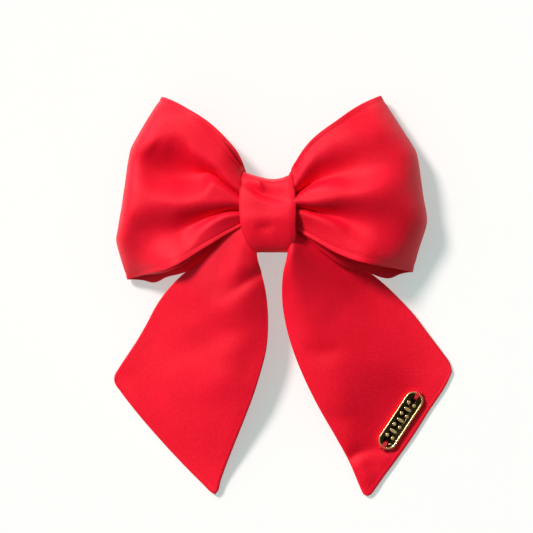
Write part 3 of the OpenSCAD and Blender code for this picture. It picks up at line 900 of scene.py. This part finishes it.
def dome(x, y, rx, ry, h, around=28):
    """Raised pebble on the tag's field: points and faces."""
    levels = [(1.0, -0.1), (1.0, 0.45), (0.93, 0.75), (0.8, 0.92), (0.55, 1.0), (0.25, 1.02)]
    a = np.linspace(0, 2 * np.pi, around, endpoint=False)
    rings = []
    for k, z in levels:
        px, py = rx * k * np.cos(a), ry * k * np.sin(a)
        rings.append(np.stack([x + px, y + py, np.full(around, 0.98 + h * z)], 1))
    faces = grid_faces(len(levels), around)
    faces.append(tuple(range(around))[::-1])
    faces.append(tuple((len(levels) - 1) * around + j for j in range(around)))
    return np.concatenate(rings), faces


def join_parts(parts):
    points, faces, count = [], [], 0
    for p, f in parts:
        points.append(p)
        faces += [tuple(q + count for q in face) for face in f]
        count += len(p)
    return np.concatenate(points), faces


plate = make_tag()
pebbles = []
for i in range(-3, 4):
    if i % 2:
        pebbles += [dome(i * 2.55, 1.25, 0.8, 0.8, 0.36), dome(i * 2.55, -1.25, 0.8, 0.8, 0.36)]
    else:
        pebbles += [dome(i * 2.55, 0, 0.72, 1.75, 0.38)]
points, faces = join_parts(pebbles)
motif = make_mesh("name_tag_motif", tag_place(points), faces, GILT)
for piece in (plate, motif):
    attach(piece, "right_tail")
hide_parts("name_tag")


def stitch_paths(side):
    """Turns of thread up through the tag's hole, over its end and down into the tail."""
    paths = []
    for y, lean in ((-0.48, -0.5), (0.0, 0.1), (0.46, 0.55)):
        outline = [
            (10.45, 0.5), (10.5, 1.2), (10.9, 1.62), (11.8, 1.72), (12.7, 1.66), (13.2, 1.35),
            (13.35, 0.6),
            (13.3, -0.3), (12.8, -0.95), (11.9, -1.1), (11.0, -0.95), (10.55, -0.4), (10.45, 0.5),
        ]
        loop = curve([(x, z) for x, z in outline])(np.linspace(0, 1, 73)[:-1])
        t = (loop[:, 0] - 10.5) / 2.9
        paths.append(tag_place(np.stack([side * loop[:, 0], y * 0.75 + lean * t, loop[:, 1]], 1)))
    return paths


for side, name in ((1, "tag_stitch_upper"), (-1, "tag_stitch_lower")):
    thread_piece(name + "_turns", name, stitch_paths(side), 0.22, body="right_tail")

# ---------------------------------------------------------------- barrette
for name in ("barrette_base", "barrette_arm", "hinge_pin", "clasp_bracket", "clasp_rivet",
             "clasp_tab_upper", "clasp_tab_lower"):
    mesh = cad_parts[name].data
    mesh.materials.clear()
    mesh.materials.append(NICKEL)
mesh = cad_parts["tension_spring"].data
mesh.materials.clear()
mesh.materials.append(SPRING_STEEL)

# ---------------------------------------------------------------- floor, light and camera
mesh = bpy.data.meshes.new("floor")
mesh.from_pydata([(-4, -4, 0), (4, -4, 0), (4, 4, 0), (-4, 4, 0)], [], [(0, 1, 2, 3)])
floor = bpy.data.objects.new("floor", mesh)
bpy.context.collection.objects.link(floor)
paper, tree, skin = new_material("paper")
grain = node(tree, "ShaderNodeTexNoise", Scale=60.0, Detail=3.0)
shade = ramp(tree, [(0.3, (0.590, 0.508, 0.494, 1)), (0.7, (0.596, 0.514, 0.500, 1))])
tree.links.new(grain.outputs["Fac"], shade.inputs["Fac"])
tree.links.new(shade.outputs["Color"], skin.inputs["Base Color"])
skin.inputs["Roughness"].default_value = 0.9
skin.inputs["Specular IOR Level"].default_value = 0.0
skin.inputs["Emission Color"].default_value = (0.755, 0.975, 0.945, 1)
skin.inputs["Emission Strength"].default_value = 0.45
mesh.materials.append(paper)

world = bpy.data.worlds.new("studio")
bpy.context.scene.world = world
world.use_nodes = True
nodes, join = world.node_tree.nodes, world.node_tree.links.new
sky = nodes["Background"]
sky.inputs["Color"].default_value = (1.0, 0.998, 0.99, 1)
way = nodes.new("ShaderNodeTexCoord")
towards = nodes.new("ShaderNodeVectorMath")
towards.operation = "DOT_PRODUCT"
towards.inputs[1].default_value = (-0.55, 0.63, 0.55)
spread = nodes.new("ShaderNodeMapRange")
for socket, value in (("From Min", -0.35), ("From Max", 1.0), ("To Min", 0.0), ("To Max", 0.56)):
    spread.inputs[socket].default_value = value
join(way.outputs["Generated"], towards.inputs[0])
join(towards.outputs["Value"], spread.inputs["Value"])
join(spread.outputs["Result"], sky.inputs["Strength"])
backdrop = nodes.new("ShaderNodeBackground")
backdrop.inputs["Color"].default_value = (0.97, 0.967, 0.955, 1)
seen = nodes.new("ShaderNodeLightPath")
either = nodes.new("ShaderNodeMixShader")
join(seen.outputs["Is Camera Ray"], either.inputs["Fac"])
join(sky.outputs["Background"], either.inputs[1])
join(backdrop.outputs["Background"], either.inputs[2])
join(either.outputs["Shader"], nodes["World Output"].inputs["Surface"])
sun = bpy.data.lights.new("key", "SUN")
sun.energy = 3.6
sun.angle = math.radians(12)
key = bpy.data.objects.new("key", sun)
bpy.context.collection.objects.link(key)
key.rotation_euler = Vector((-0.52, 0.50, 0.69)).to_track_quat("Z", "Y").to_euler()

WIDTH_SEEN, CENTRE, LENS_HEIGHT, SEEN_Z = 0.2090, (-0.00039, -0.02098), 2.0, 0.012
eye = bpy.data.cameras.new("camera")
eye.sensor_width = 36
eye.lens = 36 * (LENS_HEIGHT - SEEN_Z) / WIDTH_SEEN
eye.clip_end = 20
camera = bpy.data.objects.new("camera", eye)
bpy.context.collection.objects.link(camera)
camera.location = (CENTRE[0], CENTRE[1], LENS_HEIGHT)
bpy.context.scene.camera = camera
bpy.context.scene.view_settings.view_transform = "Standard"
